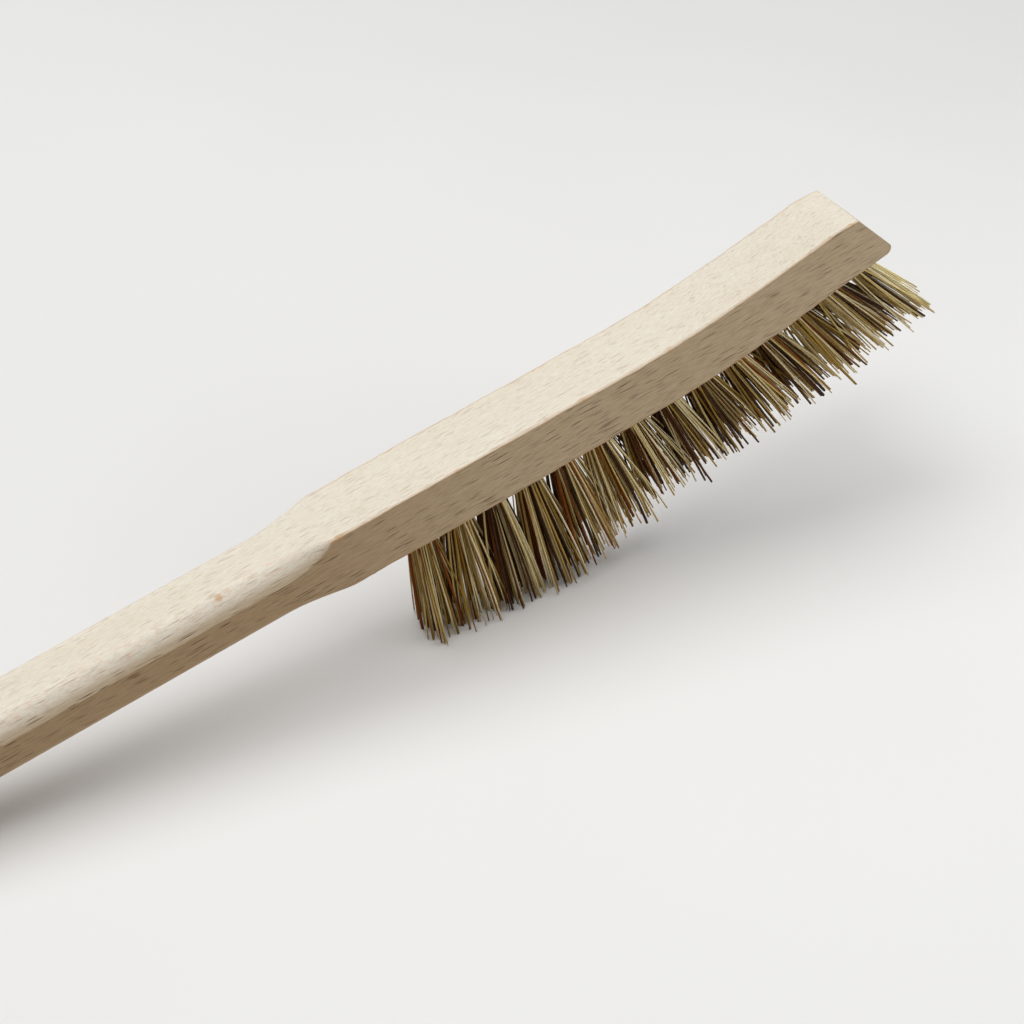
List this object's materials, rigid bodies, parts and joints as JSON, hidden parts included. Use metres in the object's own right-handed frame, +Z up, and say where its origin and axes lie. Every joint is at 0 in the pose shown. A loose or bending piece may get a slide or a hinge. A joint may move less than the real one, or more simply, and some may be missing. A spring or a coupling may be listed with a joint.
{
  "type": "corner brush",
  "caption": "Slim wooden stick brush with a rounded handle, a square head with an upswept raked toe, and a row of stiff plant-fibre tufts that fan from heel to toe, for scrubbing corners.",
  "frame": {"origin": "middle of the box round the brush, on the surface it stands on, with the brush tipped back on its heel tufts as it rests", "axes": "+X towards the toe, +Y across the stick, +Z up"},
  "size_m": [0.2552, 0.015, 0.0758],
  "materials": {
    "beech": "untreated, fine sanded, matte",
    "plant_fibre": "dry stiff stalks, pale straw, olive and dark brown mixed",
    "flat_wire": "flat drawn wire"
  },
  "bodies": {
    "root": {"stock": "beech", "heel_bristles": "plant_fibre", "rear_bristles": "plant_fibre", "front_bristles": "plant_fibre", "toe_bristles": "plant_fibre", "anchor_01": "flat_wire", "anchor_02": "flat_wire", "anchor_03": "flat_wire", "anchor_04": "flat_wire", "anchor_05": "flat_wire", "anchor_06": "flat_wire", "anchor_07": "flat_wire", "anchor_08": "flat_wire", "anchor_09": "flat_wire", "anchor_10": "flat_wire", "anchor_11": "flat_wire", "anchor_12": "flat_wire", "anchor_13": "flat_wire", "anchor_14": "flat_wire"}
  },
  "joints": []
}
